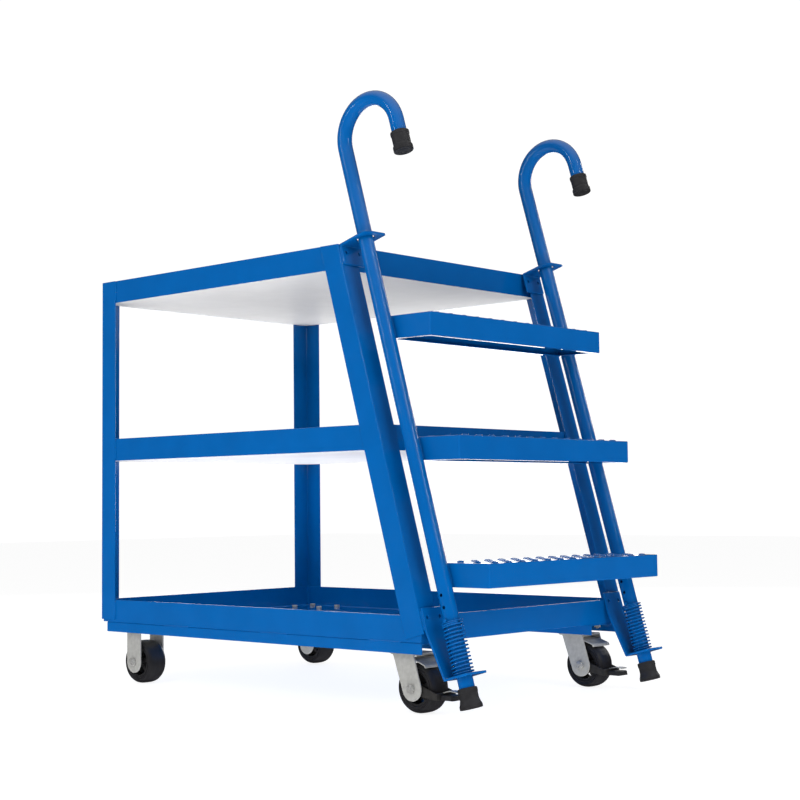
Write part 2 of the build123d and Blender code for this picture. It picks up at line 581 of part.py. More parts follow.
for side, s in SIDES.items():
    x = s * CASTER_X

    # rigid caster at the rear
    spots = [spot for spot in BOLT_SPOTS if spot[0] * s > 0 and spot[1] > 0]
    with BuildPart() as rear_fork:
        with BuildSketch(Plane.XY.offset(PLATE_LOW)):
            with Locations((x, REAR_AXLE_Y)):
                Rectangle(CASTER_PLATE_X, CASTER_PLATE_Y)
        extrude(amount=CASTER_PLATE)
        for start in (x - FORK_HALF, x + FORK_HALF - FORK_WALL):
            with BuildSketch(Plane.YZ.offset(start)):
                with Locations((REAR_AXLE_Y, AXLE_Z)):
                    Circle(FORK_LEG)
                with Locations((REAR_AXLE_Y, (AXLE_Z + PLATE_LOW) / 2)):
                    Rectangle(2 * FORK_LEG, PLATE_LOW - AXLE_Z)
                with Locations((REAR_AXLE_Y, AXLE_Z)):
                    Circle(AXLE_RADIUS, mode=Mode.SUBTRACT)
            extrude(amount=FORK_WALL)
        bolt_holes(CASTER_HEIGHT, CASTER_PLATE, spots)
    rear_fork.part.label = f"rear_fork_{side}"
    export_step(rear_fork.part, f"parts/rear_fork_{side}.step")

    with BuildPart() as rear_axle:
        axle_bolt(x, REAR_AXLE_Y)
        spacers(x, REAR_AXLE_Y, HUB_LENGTH / 2 + SPACER_GAP, FORK_HALF - FORK_WALL)
    rear_axle.part.label = f"rear_axle_{side}"
    export_step(rear_axle.part, f"parts/rear_axle_{side}.step")

    wheel("rear", side, x, REAR_AXLE_Y)

    # swivel caster with a brake at the front
    spots = [spot for spot in BOLT_SPOTS if spot[0] * s > 0 and spot[1] < 0]
    with BuildPart() as front_plate:
        with BuildSketch(Plane.XY.offset(PLATE_LOW)):
            with Locations((x, KINGPIN_Y)):
                Rectangle(CASTER_PLATE_X, CASTER_PLATE_Y)
        extrude(amount=CASTER_PLATE)
        with BuildSketch(Plane.XY.offset(PLATE_LOW)):
            with Locations((x, KINGPIN_Y)):
                Circle(RACE_RADIUS)
        extrude(amount=-RACE_HEIGHT, taper=RACE_TAPER)
        bolt_holes(CASTER_HEIGHT, CASTER_PLATE, spots)
        with BuildSketch(Plane.XY.offset(CASTER_HEIGHT)):
            with Locations((x, KINGPIN_Y)):
                Circle(KINGPIN_RADIUS)
        extrude(amount=-CASTER_PLATE - RACE_HEIGHT, mode=Mode.SUBTRACT)
    front_plate.part.label = f"front_plate_{side}"
    export_step(front_plate.part, f"parts/front_plate_{side}.step")

    with BuildPart() as kingpin:
        with BuildSketch(Plane.XY.offset(CASTER_HEIGHT)):
            with Locations((x, KINGPIN_Y)):
                Circle(KINGPIN_RADIUS)
        extrude(amount=crown_low - CASTER_HEIGHT - WORKING_GAP)
        with BuildSketch(Plane.XY.offset(crown_low - WORKING_GAP)):
            with Locations((x, KINGPIN_Y)):
                Circle(KINGPIN_RADIUS + KINGPIN_HEAD)
        extrude(amount=-KINGPIN_HEAD)
    kingpin.part.label = f"kingpin_{side}"
    export_step(kingpin.part, f"parts/kingpin_{side}.step")

    with BuildPart() as ball_race:
        with BuildSketch(Plane.XY.offset(crown_top)):
            with Locations((x, KINGPIN_Y)):
                Circle(SEAL_RADIUS)
                Circle(KINGPIN_RADIUS + RUNNING_FIT, mode=Mode.SUBTRACT)
        extrude(amount=SEAL_HEIGHT)
    ball_race.part.label = f"ball_race_{side}"
    export_step(ball_race.part, f"parts/ball_race_{side}.step")

    leg_top_middle = FRONT_AXLE_Y + TRAIL / 2
    cover_front = FRONT_AXLE_Y - COVER_REACH
    with BuildPart() as front_fork:
        with BuildSketch(Plane.XY.offset(crown_low)):
            with Locations((x, KINGPIN_Y)):
                Circle(SEAL_RADIUS)
            with Locations((x, leg_top_middle)):
                Rectangle(2 * FORK_HALF, 2 * (FORK_LEG + FORK_SPREAD))
        extrude(amount=CROWN)
        for start in (x - FORK_HALF, x + FORK_HALF - FORK_WALL):
            with BuildSketch(Plane.YZ.offset(start)):
                with BuildLine():
                    CenterArc((FRONT_AXLE_Y, AXLE_Z), FORK_LEG, 0, 360)
                    Line((leg_top_middle - FORK_LEG - FORK_SPREAD, crown_top),
                         (leg_top_middle + FORK_LEG + FORK_SPREAD, crown_top))
                make_hull()
                with Locations((FRONT_AXLE_Y, AXLE_Z)):
                    Circle(AXLE_RADIUS, mode=Mode.SUBTRACT)
            extrude(amount=FORK_WALL)
        # brake cover over the wheel, its front edge turned down
        with BuildSketch(Plane.YZ.offset(x - FORK_HALF + FORK_WALL)):
            with BuildLine():
                Polyline(*band([
                    (leg_top_middle, crown_low - COVER_DROPS[0]),
                    (FRONT_AXLE_Y - COVER_START, crown_low - COVER_DROPS[1]),
                    (cover_front, cover_height),
                    (cover_front - COVER_LIP[0], cover_height - COVER_LIP[1]),
                ], COVER_WALL))
            make_face()
        extrude(amount=2 * (FORK_HALF - FORK_WALL))
        with BuildSketch(Plane.XY.offset(crown_top)):
            with Locations((x, KINGPIN_Y)):
                Circle(KINGPIN_RADIUS + RUNNING_FIT)
        extrude(amount=-CROWN, mode=Mode.SUBTRACT)
    front_fork.part.label = f"front_fork_{side}"
    export_step(front_fork.part, f"parts/front_fork_{side}.step")

    with BuildPart() as front_axle:
        axle_bolt(x, FRONT_AXLE_Y)
    front_axle.part.label = f"front_axle_{side}"
    export_step(front_axle.part, f"parts/front_axle_{side}.step")

    wheel("front", side, x, FRONT_AXLE_Y)

    pad_back = FRONT_AXLE_Y - WHEEL / 2 - PAD_GAP
    bar_front = pad_back + BRAKE_BAR / 2
    with BuildPart() as brake_lever:
        for start in (x - brake_arm_x - BRAKE_ARM / 2, x + brake_arm_x - BRAKE_ARM / 2):
            with BuildSketch(Plane.YZ.offset(start)):
                with BuildLine():
                    CenterArc((FRONT_AXLE_Y, AXLE_Z), BRAKE_BOSS, 0, 360)
                    Line((bar_front + BRAKE_BAR, pad_low), (bar_front + BRAKE_BAR, pad_top))
                make_hull()
                with Locations((FRONT_AXLE_Y, AXLE_Z)):
                    Circle(AXLE_RADIUS + RUNNING_FIT, mode=Mode.SUBTRACT)
            extrude(amount=BRAKE_ARM)
        # cross bar that joins the arms, and the metal tread tab above the pad
        with BuildSketch(Plane.YZ.offset(x - brake_arm_x - BRAKE_ARM / 2)):
            with Locations((bar_front + BRAKE_BAR / 2, pad_low + PAD_HEIGHT / 2)):
                Rectangle(BRAKE_BAR, PAD_HEIGHT)
        extrude(amount=2 * brake_arm_x + BRAKE_ARM)
        with BuildSketch(Plane.YZ.offset(x - PAD_WIDTH / 4)):
            with BuildLine():
                Polyline(*band([
                    (bar_front + BRAKE_BAR / 2, pad_top - TAB / 2),
                    (pad_back - PAD_DEPTH / 2, pad_top - TAB / 2 + TAB_RISE),
                    (pad_back - PAD_DEPTH - BRAKE_BAR, pad_top - TAB / 2 + TAB_RISE - TAB_DROP),
                ], -TAB))
            make_face()
        extrude(amount=PAD_WIDTH / 2)
    brake_lever.part.label = f"brake_lever_{side}"
    export_step(brake_lever.part, f"parts/brake_lever_{side}.step")

    with BuildPart() as brake_pad:
        with BuildSketch(Plane.YZ.offset(x - PAD_WIDTH / 2)):
            with BuildLine():
                Polyline(
                    (bar_front, pad_low),
                    (bar_front, pad_low + PAD_THICK),
                    (bar_front - PAD_DEPTH, pad_low + PAD_THICK),
                    (bar_front - PAD_DEPTH - BRAKE_BAR / 2, pad_low),
                    (bar_front, pad_low),
                )
            make_face()
        extrude(amount=PAD_WIDTH)
    brake_pad.part.label = f"brake_pad_{side}"
    export_step(brake_pad.part, f"parts/brake_pad_{side}.step")

# ------------------------------------------------------------------ caster fasteners
deck_height = TRAY_BOTTOM + SHEET
bolt_end = PLATE_LOW - CASTER_NUT - CASTER_BOLT_SHOWS
with BuildPart() as caster_bolts:
    with BuildSketch(Plane.XY.offset(deck_height)):
        with Locations(*BOLT_SPOTS):
            RegularPolygon(radius=CASTER_BOLT_HEAD, side_count=6)
    extrude(amount=CASTER_BOLT_HEAD_HEIGHT)
    with BuildSketch(Plane.XY.offset(deck_height)):
        with Locations(*BOLT_SPOTS):
            Circle(CASTER_BOLT_RADIUS)
    extrude(amount=bolt_end - deck_height)
caster_bolts.part.label = "caster_bolts"
export_step(caster_bolts.part, "parts/caster_bolts.step")

with BuildPart() as caster_nuts:
    with BuildSketch(Plane.XY.offset(PLATE_LOW)):
        with Locations(*BOLT_SPOTS):
            RegularPolygon(radius=CASTER_BOLT_HEAD, side_count=6)
            Circle(CASTER_BOLT_RADIUS, mode=Mode.SUBTRACT)
    extrude(amount=-CASTER_NUT)
caster_nuts.part.label = "caster_nuts"
export_step(caster_nuts.part, "parts/caster_nuts.step")
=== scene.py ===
"""Visual model of a stock-picking shelf cart with a spring-loaded ladder.

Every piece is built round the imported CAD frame, in metres, and rides on a CAD body.
"""
import json
import math

import bmesh
import bpy
from mathutils import Matrix, Vector
from mathutils.bvhtree import BVHTree


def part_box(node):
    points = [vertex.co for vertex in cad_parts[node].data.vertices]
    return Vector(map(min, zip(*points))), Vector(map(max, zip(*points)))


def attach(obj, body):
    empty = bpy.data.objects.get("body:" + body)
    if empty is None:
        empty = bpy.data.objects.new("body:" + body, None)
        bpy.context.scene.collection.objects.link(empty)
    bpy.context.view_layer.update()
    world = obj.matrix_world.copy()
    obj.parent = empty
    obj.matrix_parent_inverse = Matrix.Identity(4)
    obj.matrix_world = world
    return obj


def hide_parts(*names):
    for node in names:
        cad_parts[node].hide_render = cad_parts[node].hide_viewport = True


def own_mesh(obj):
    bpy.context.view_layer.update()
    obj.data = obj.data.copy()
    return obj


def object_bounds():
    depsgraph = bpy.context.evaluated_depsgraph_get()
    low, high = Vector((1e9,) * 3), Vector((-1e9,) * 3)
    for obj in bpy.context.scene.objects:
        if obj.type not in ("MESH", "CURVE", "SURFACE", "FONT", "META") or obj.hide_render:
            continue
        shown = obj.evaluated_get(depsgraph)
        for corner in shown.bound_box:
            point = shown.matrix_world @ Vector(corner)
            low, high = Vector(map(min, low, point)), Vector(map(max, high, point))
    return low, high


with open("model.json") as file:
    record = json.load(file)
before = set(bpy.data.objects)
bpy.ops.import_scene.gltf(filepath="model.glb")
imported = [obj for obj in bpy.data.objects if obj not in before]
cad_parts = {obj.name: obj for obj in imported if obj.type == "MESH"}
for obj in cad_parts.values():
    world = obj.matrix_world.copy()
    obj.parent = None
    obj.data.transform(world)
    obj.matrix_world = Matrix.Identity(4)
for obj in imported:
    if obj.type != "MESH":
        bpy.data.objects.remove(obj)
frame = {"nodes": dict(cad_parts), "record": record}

cad_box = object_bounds()
MM = 0.001
SIDES = {"left": -1, "right": 1}
X = Vector((1, 0, 0))
Z = Vector((0, 0, 1))

record = frame["record"]
SLOT = {part["node"]: part["material_slot"] for part in record["subparts"]}
BODY = {node: body for body, nodes in record["behaviour"]["bodies"].items() for node in nodes}
JOINTS = {joint["name"]: joint for joint in record["behaviour"]["joints"]}

SHELVES = ("top_shelf_rim", "middle_shelf_rim", "bottom_tray")
STEPS = ("lower_step", "middle_step", "upper_step")

# radii of folds and of eased edges
SHEET_FOLD = 2.4 * MM
DECK_EDGE = 0.7 * MM
ANGLE_FOLD = 2.0 * MM
BRACKET_FOLD = 3.5 * MM
TUBE_EDGE = 0.6 * MM
PIN_EDGE = 0.8 * MM
FORK_FOLD = 1.5 * MM
PLATE_EDGE = 1.3 * MM
HUB_EDGE = 1.5 * MM
AXLE_EDGE = 0.9 * MM
KINGPIN_EDGE = 1.2 * MM
LEVER_EDGE = 1.2 * MM
PAD_EDGE = 2.2 * MM
BOLT_EDGE = 1.0 * MM

# ladder spring
WIRE = 1.75 * MM                   # radius of the wire
COIL_TURNS = 12.5                  # open coils
CLOSED_TURNS = 1.1                 # closed coils at each end
TURN_POINTS = 40                   # points in each turn
WIRE_SIDES = 12

# rubber caps and feet
MOUTH_WALL = 3.0 * MM              # rubber at the mouth
MOUTH_DEPTH = 6.0 * MM
CAP_FLARE = 2.0 * MM               # the closed end past the sleeve
CAP_ROLL = 1.0 * MM                # the rolled mouth past the sleeve
CAP_GROOVE = 0.6 * MM
CAP_DISH = 1.2 * MM                # hollow of the closed end
CAP_ROUND = 1.4 * MM
FOOT_FLARE = 4.0 * MM              # the sole past the neck
FOOT_STEP = 1.6 * MM
FOOT_ROLL = 0.9 * MM
FOOT_LIP = 0.2 * MM                # the mouth's edge inside the neck
FOOT_DISH = 2.0 * MM               # hollow and ring groove of the sole
FOOT_ROUND = 1.5 * MM

# tyres: rows of (inset from the side face, rise above the base), in mm
RING_SHARE = 0.86                  # sidewall ring's radius, as a share of the tyre's
SEAT_ROWS = ((1.4, 0.0), (1.0, 2.2), (2.4, 3.4))
RING_ROWS = ((2.2, -2.0), (0.3, -1.2), (0.6, 1.0))
TREAD_ROWS = ((3.0, -4.2), (7.5, -1.5), (14.0, -0.3))
TYRE_ROUND = 1.6 * MM
TYRE_SEGMENTS = 96

# casters
TREAD_TAB = 33 * MM                # bright tab at the outer end of the brake lever
BALLS = 30
BALL = 1.7 * MM                    # radius of a ball
RACE_GROOVE = 2.4 * MM
RACE_WALL = 8.0 * MM
RACE_CHAMFER = 0.8 * MM
RACE_EDGE = 1.4 * MM
RACE_BAND = 2.0 * MM               # height of each ring above and below the balls
RACE_ROUND = 0.5 * MM
RACE_SEGMENTS = 72

# weld beads: radii, then how far a bead stands off the sheets it joins
BEAD = 2.2 * MM
POST_BEAD = 1.9 * MM
FLANGE_BEAD = 1.7 * MM
STEP_BEAD = 2.0 * MM
RIPPLE = 2.6 * MM                  # from one puddle to the next
BEAD_SIDES = 10
PROUD = 0.6 * MM
BARELY = 0.4 * MM
STITCH = 85 * MM                   # stitches under the tray's long sides
STITCH_PITCH = 327 * MM
FIRST_STITCH = 216 * MM            # from the rail's rear end
POST_FLANGE = 50.8 * MM
ANGLE_WALL = 3.2 * MM
LAP = 34 * MM                      # overlap of post and rim, from the rim's top edge
CLEAR = 3 * MM                     # bare steel at a bead's ends


# ------------------------------------------------------------------ reading the frame
def reach(node, direction, origin=Vector()):
    """Lowest and highest place of a node's vertices along a direction."""
    places = [(v.co - origin).dot(direction) for v in frame["nodes"][node].data.vertices]
    return min(places), max(places)


def half_width(node, direction, origin=Vector()):
    low, high = reach(node, direction, origin)
    return (high - low) / 2


def far(node, sign):
    """The node's outermost x towards +X or -X."""
    low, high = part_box(node)
    return high[0] if sign > 0 else low[0]


slide = JOINTS["ladder_slide"]
UP = -Vector(slide["axis"]).normalized()          # up along the ladder's tubes
BACK = X.cross(UP) * -1                           # square to the tubes, to the rear
if BACK.y < 0:
    BACK = -BACK


def on_axis(node, axis):
    """A point on a round node's own axis, level with the node's middle."""
    across = Z.cross(axis) if axis is not Z else X
    point = Vector()
    for direction in (axis, across, axis.cross(across)):
        direction = direction.normalized()
        low, high = reach(node, direction)
        point += direction * (low + high) / 2
    return point


# ------------------------------------------------------------------ materials
def new_material(name):
    material = bpy.data.materials.new(name)
    material.use_nodes = True
    tree = material.node_tree
    shader = tree.nodes["Principled BSDF"]
    place = tree.nodes.new("ShaderNodeTexCoord")
    return material, tree, shader, place.outputs["Object"]


def noise(tree, place, scale, detail=2.0):
    node = tree.nodes.new("ShaderNodeTexNoise")
    node.inputs["Scale"].default_value = scale
    node.inputs["Detail"].default_value = detail
    tree.links.new(place, node.inputs["Vector"])
    return node.outputs["Fac"]


def ramp(tree, value, low, high, start=0.3, end=0.7):
    node = tree.nodes.new("ShaderNodeValToRGB")
    node.color_ramp.elements[0].position = start
    node.color_ramp.elements[0].color = low
    node.color_ramp.elements[1].position = end
    node.color_ramp.elements[1].color = high
    tree.links.new(value, node.inputs["Fac"])
    return node.outputs["Color"]


def bump(tree, height, distance, strength, before=None):
    node = tree.nodes.new("ShaderNodeBump")
    node.inputs["Distance"].default_value = distance
    node.inputs["Strength"].default_value = strength
    tree.links.new(height, node.inputs["Height"])
    if before:
        tree.links.new(before, node.inputs["Normal"])
    return node.outputs["Normal"]


def shade(colour, factor):
    return tuple(c * factor for c in colour) + (1.0,)


def finish(name, colour, spread, mottle, roughness, bumps, metallic=0.0, coat=0.0):
    """A finish with mottled colour and roughness.

    mottle is the noise scale of the patches, spread how far the colour strays, roughness the
    lowest and highest value, and bumps a list of (noise scale, height in metres, strength).
    """
    material, tree, shader, place = new_material(name)
    patches = noise(tree, place, mottle, 4.0)
    tree.links.new(ramp(tree, patches, shade(colour, 1 - spread), shade(colour, 1 + spread)),
                   shader.inputs["Base Color"])
    rough = noise(tree, place, mottle * 2.3, 3.0)
    low, high = roughness
    tree.links.new(ramp(tree, rough, (low, low, low, 1), (high, high, high, 1)),
                   shader.inputs["Roughness"])
    normal = None
    for scale, distance, strength in bumps:
        normal = bump(tree, noise(tree, place, scale), distance, strength, normal)
    tree.links.new(normal, shader.inputs["Normal"])
    shader.inputs["Metallic"].default_value = metallic
    shader.inputs["Coat Weight"].default_value = coat
    shader.inputs["Coat Roughness"].default_value = 0.05
    return material


BLUE = (0.0, 0.094, 0.335)
GREY = (0.66, 0.66, 0.665)
# a paler copy of the deck grey: painted light standing in for the brighter bounce on the middle
# deck's underside
PAINTED_LIGHT_GREY = (0.93, 0.92, 0.915)
SHEET_BUMPS = [(600, 0.00003, 0.25), (40, 0.0002, 0.15)]
MATERIALS = {
    "blue_paint": finish("blue_paint", BLUE, 0.05, 14.0, (0.09, 0.15),
                         [(700, 0.00002, 0.2), (90, 0.00006, 0.12)], coat=0.5),
    "grey_paint": finish("grey_paint", GREY, 0.03, 9.0, (0.42, 0.55), SHEET_BUMPS),
    "zinc": finish("zinc", (0.46, 0.46, 0.44), 0.10, 120.0, (0.30, 0.46),
                   [(1500, 0.00003, 0.3), (300, 0.00005, 0.2)], metallic=0.35),
    "dark_steel": finish("dark_steel", (0.035, 0.034, 0.033), 0.2, 90.0, (0.35, 0.5),
                         [(900, 0.00004, 0.3)], metallic=0.3),
    "bright_zinc": finish("bright_zinc", (0.55, 0.55, 0.53), 0.05, 60.0, (0.26, 0.34),
                          [(900, 0.00001, 0.12)], metallic=0.6),
    "brass_ring": finish("brass_ring", (0.20, 0.13, 0.07), 0.2, 160.0, (0.35, 0.5),
                         [(900, 0.00004, 0.3)], metallic=0.4),
    # the same grey paint made paler, as painted light for the middle deck
    "grey_paint_painted_light": finish("grey_paint_painted_light", PAINTED_LIGHT_GREY, 0.02, 9.0, (0.42, 0.55),
                              SHEET_BUMPS),
    "black_rubber": finish("black_rubber", (0.018, 0.018, 0.020), 0.2, 60.0, (0.48, 0.62),
                           [(1600, 0.00006, 0.5), (250, 0.0001, 0.25)]),
    "tyre_rubber": finish("tyre_rubber", (0.014, 0.014, 0.016), 0.2, 70.0, (0.30, 0.44),
                          [(1300, 0.00004, 0.35), (180, 0.0001, 0.2)]),
    "hub_plastic": finish("hub_plastic", (0.022, 0.022, 0.024), 0.15, 90.0, (0.40, 0.52),
                          [(1100, 0.00004, 0.3)]),
}


# ------------------------------------------------------------------ making pieces
def piece(name, bm, body, slot, stands_for=()):
    """Turns a bmesh into a piece that rides on a body and takes a slot's finish."""
    bmesh.ops.recalc_face_normals(bm, faces=bm.faces)
    mesh = bpy.data.meshes.new(name)
    bm.to_mesh(mesh)
    bm.free()
    mesh.polygons.foreach_set("use_smooth", [True] * len(mesh.polygons))
    made = bpy.data.objects.new(name, mesh)
    bpy.context.scene.collection.objects.link(made)
    mesh.materials.append(MATERIALS[slot])
    if stands_for:
        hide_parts(*stands_for)
    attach(made, body)
    return made


WELDED = 0.02 * MM                   # vertices this close are one
FLAT = math.radians(0.6)             # faces this close to flat are one
SHARP = math.radians(28)             # edges folded by more than this are rounded
PROBE = 0.2 * MM                     # depth at which the wall beside an edge is measured
WALL_SHARE = 0.36                    # widest bevel, as a share of the wall


def soften(node, fold, segments=3):
    """A copy of a CAD node with its folds rounded and its sheared edges eased.

    A bevel is as wide as the fold, but never more than a share of the wall behind it.
    """
    bm = bmesh.new()
    bm.from_mesh(frame["nodes"][node].data)
    bmesh.ops.remove_doubles(bm, verts=bm.verts, dist=WELDED)
    bmesh.ops.dissolve_limit(bm, angle_limit=FLAT, verts=bm.verts, edges=bm.edges)
    bm.normal_update()
    tree = BVHTree.FromBMesh(bm)
    weight = bm.edges.layers.float.new("bevel_weight_edge")
    for edge in bm.edges:
        if len(edge.link_faces) != 2:
            continue
        angle = edge.calc_face_angle_signed(0)
        if abs(angle) < SHARP:
            continue
        side = 1 if angle > 0 else -1
        middle = (edge.verts[0].co + edge.verts[1].co) / 2
        normals = [face.normal for face in edge.link_faces]
        inside = middle - side * (normals[0] + normals[1]).normalized() * PROBE
        width = fold
        for normal in normals:
            hit = tree.ray_cast(inside, -side * normal, 4 * fold)
            if hit[0] is not None:
                width = min(width, WALL_SHARE * hit[3])
        edge[weight] = width / fold
    made = piece(f"{node}_body", bm, BODY[node], SLOT[node], [node])
    bevel = made.modifiers.new("edges", "BEVEL")
    bevel.width = fold
    bevel.segments = segments
    bevel.limit_method = "WEIGHT"
    bevel.use_clamp_overlap = False
    made.modifiers.new("normals", "WEIGHTED_NORMAL")
    return made


def rounded(points, radius, steps=4):
    """A polyline with its inner corners rounded."""
    out = [points[0]]
    for before, corner, after in zip(points, points[1:], points[2:]):
        corner_v = Vector(corner)
        into = Vector(before) - corner_v
        out_of = Vector(after) - corner_v
        cut = min(radius, into.length * 0.45, out_of.length * 0.45)
        start = corner_v + into.normalized() * cut
        end = corner_v + out_of.normalized() * cut
        for k in range(steps + 1):
            t = k / steps
            point = start * (1 - t) ** 2 + corner_v * 2 * t * (1 - t) + end * t ** 2
            out.append(tuple(point))
    out.append(points[-1])
    return out


def circle(count):
    return [2 * math.pi * k / count for k in range(count)]


def add_lathe(bm, profile, origin, axis, segments=64):
    """Adds a surface of revolution; the profile is a list of (along the axis, radius)."""
    axis = axis.normalized()
    across = axis.orthogonal().normalized()
    other = axis.cross(across)
    rings = []
    for along, radius in profile:
        if radius < 1e-6:
            rings.append([bm.verts.new(origin + axis * along)])
            continue
        rings.append([
            bm.verts.new(origin + axis * along
                         + (across * math.cos(a) + other * math.sin(a)) * radius)
            for a in circle(segments)
        ])
    pairs = list(zip(rings, rings[1:]))
    if len(rings[0]) > 1 and len(rings[-1]) > 1:
        pairs.append((rings[-1], rings[0]))
    for one, two in pairs:
        for k in range(segments):
            n = (k + 1) % segments
            if len(one) == 1:
                bm.faces.new((one[0], two[n], two[k]))
            elif len(two) == 1:
                bm.faces.new((one[k], one[n], two[0]))
            else:
                bm.faces.new((one[k], one[n], two[n], two[k]))


def add_sweep(bm, points, radii, sides):
    """Adds a round bar along points, capped at both ends."""
    count = len(points)
    tangents = [(points[min(i + 1, count - 1)] - points[max(i - 1, 0)]).normalized()
                for i in range(count)]
    across = tangents[0].orthogonal().normalized()
    rings = []
    for point, tangent, radius in zip(points, tangents, radii):
        across = (across - tangent * across.dot(tangent)).normalized()
        other = tangent.cross(across)
        rings.append([bm.verts.new(point + (across * math.cos(a) + other * math.sin(a)) * radius)
                      for a in circle(sides)])
    for one, two in zip(rings, rings[1:]):
        for k in range(sides):
            n = (k + 1) % sides
            bm.faces.new((one[k], one[n], two[n], two[k]))
    bm.faces.new(rings[0][::-1])
    bm.faces.new(rings[-1])


def add_bead(bm, start, end, radius=BEAD):
    """Adds a weld bead: a bar that swells with each puddle and tapers at its ends."""
    length = (end - start).length
    steps = max(8, int(length / (RIPPLE / 5)))
    points, radii = [], []
    for k in range(steps + 1):
        t = k / steps
        along = t * length
        taper = min(1.0, 0.35 + min(along, length - along) / (1.6 * radius))
        wave = 0.90 + 0.10 * abs(math.sin(math.pi * along / RIPPLE))
        points.append(start.lerp(end, t))
        radii.append(radius * taper * wave)
    add_sweep(bm, points, radii, BEAD_SIDES)


# ------------------------------------------------------------------ sheet metal and posts
for node in SHELVES:
    soften(node, SHEET_FOLD)
soften("top_shelf_deck", DECK_EDGE, 2)
# the middle deck takes the paler copy of the grey paint: painted light for its brighter
# underside, not a different finish
painted_light_deck = soften("middle_shelf_deck", DECK_EDGE, 2)
painted_light_deck.data.materials[0] = MATERIALS["grey_paint_painted_light"]
for side in SIDES:
    soften(f"rear_post_{side}", ANGLE_FOLD)
    soften(f"front_post_{side}", ANGLE_FOLD)
    soften(f"caster_rail_{side}", ANGLE_FOLD)
    soften(f"top_bracket_{side}", BRACKET_FOLD)
    soften(f"bottom_bracket_{side}", BRACKET_FOLD)
for node in STEPS:
    soften(node, SHEET_FOLD)


# ------------------------------------------------------------------ ladder
def spring_path(axis_point, bottom, top, radius):
    """The wire's middle line: closed end coils and an even pitch between them."""
    turns = COIL_TURNS + 2 * CLOSED_TURNS
    closed_rise = 2 * WIRE * CLOSED_TURNS
    points = []
    for k in range(int(turns * TURN_POINTS) + 1):
        turn = k / TURN_POINTS
        if turn < CLOSED_TURNS:
            rise = bottom + 2 * WIRE * turn
        elif turn > turns - CLOSED_TURNS:
            rise = top - 2 * WIRE * (turns - turn)
        else:
            share = (turn - CLOSED_TURNS) / COIL_TURNS
            rise = bottom + closed_rise + share * (top - bottom - 2 * closed_rise)
        angle = 2 * math.pi * turn
        points.append(axis_point + UP * rise
                      + X * radius * math.cos(angle) + BACK * radius * math.sin(angle))
    return points


def cap_profile(low, high, outer):
    """A hook's cap: a dished and flared closed end, a plain sleeve and a rolled mouth."""
    length = high - low
    sleeve = outer - CAP_FLARE
    return rounded([
        (low + CAP_DISH, 0.0),
        (low + CAP_DISH, outer * 0.55),
        (low, outer * 0.68),
        (low, outer),
        (low + length * 0.24, outer),
        (low + length * 0.34, sleeve - CAP_GROOVE),
        (low + length * 0.40, sleeve),
        (high - length * 0.20, sleeve),
        (high - length * 0.16, sleeve + CAP_ROLL),
        (high, sleeve + CAP_ROLL),
        (high, sleeve - MOUTH_WALL),
        (high - MOUTH_DEPTH, sleeve - MOUTH_WALL),
        (high - MOUTH_DEPTH, 0.0),
    ], CAP_ROUND)


def foot_profile(low, high, outer):
    """A crutch-tip foot: a flared sole with a ring groove, a neck and a rolled mouth."""
    length = high - low
    neck = outer - FOOT_FLARE
    return rounded([
        (low + FOOT_DISH, 0.0),
        (low + FOOT_DISH, outer * 0.35),
        (low, outer * 0.42),
        (low, outer * 0.66),
        (low + FOOT_DISH, outer * 0.72),
        (low, outer * 0.80),
        (low, outer),
        (low + length * 0.17, outer),
        (low + length * 0.26, outer - FOOT_STEP),
        (low + length * 0.46, neck),
        (high - length * 0.26, neck),
        (high - length * 0.22, neck + FOOT_ROLL),
        (high - length * 0.04, neck + FOOT_ROLL),
        (high, neck - FOOT_LIP),
        (high, neck - MOUTH_WALL),
        (high - MOUTH_DEPTH, neck - MOUTH_WALL),
        (high - MOUTH_DEPTH, 0.0),
    ], FOOT_ROUND)


def turned_rubber(name, node, profile_of):
    """A lathed piece in place of a round rubber node on the ladder's tube."""
    at = on_axis(node, UP)
    low, high = reach(node, UP, at)
    bm = bmesh.new()
    add_lathe(bm, profile_of(low, high, half_width(node, X, at)), at, UP)
    piece(name, bm, "ladder", SLOT[node], [node])


for side in SIDES:
    washer = f"spring_washer_{side}"
    soften(f"ladder_rail_{side}", TUBE_EDGE, 2)
    soften(washer, TUBE_EDGE, 2)
    soften(f"spring_pin_{side}", PIN_EDGE)

    spring = f"ladder_spring_{side}"
    axis_point = on_axis(washer, UP)
    low, high = reach(spring, UP, axis_point)
    top = reach(washer, UP, axis_point)[0] - WIRE
    coil_radius = half_width(washer, X, axis_point) - WIRE
    points = spring_path(axis_point, low + WIRE, top, coil_radius)
    bm = bmesh.new()
    add_sweep(bm, points, [WIRE] * len(points), WIRE_SIDES)
    coil = piece(f"spring_coil_{side}", bm, "cart", SLOT[spring], [spring])
    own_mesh(coil)

    turned_rubber(f"rubber_cap_{side}", f"hook_cap_{side}", cap_profile)
    turned_rubber(f"rubber_foot_{side}", f"ladder_foot_{side}", foot_profile)

# ------------------------------------------------------------------ wheels
for end in ("rear", "front"):
    for side in SIDES:
        tyre = f"{end}_tyre_{side}"
        hub = f"{end}_hub_{side}"
        at = on_axis(tyre, X)
        half = half_width(tyre, X)
        radius = half_width(tyre, Z)
        bases = (half_width(hub, Z), radius * RING_SHARE, radius)
        wall = [(half - inset * MM, base + rise * MM)
                for base, rows in zip(bases, (SEAT_ROWS, RING_ROWS, TREAD_ROWS))
                for inset, rise in rows]
        outline = wall + [(0.0, radius)] + [(-along, r) for along, r in wall[::-1]]
        bm = bmesh.new()
        add_lathe(bm, rounded(outline, TYRE_ROUND, 5), at, X, TYRE_SEGMENTS)
        piece(f"{end}_wheel_tyre_{side}", bm, BODY[tyre], SLOT[tyre], [tyre])
        soften(hub, HUB_EDGE)

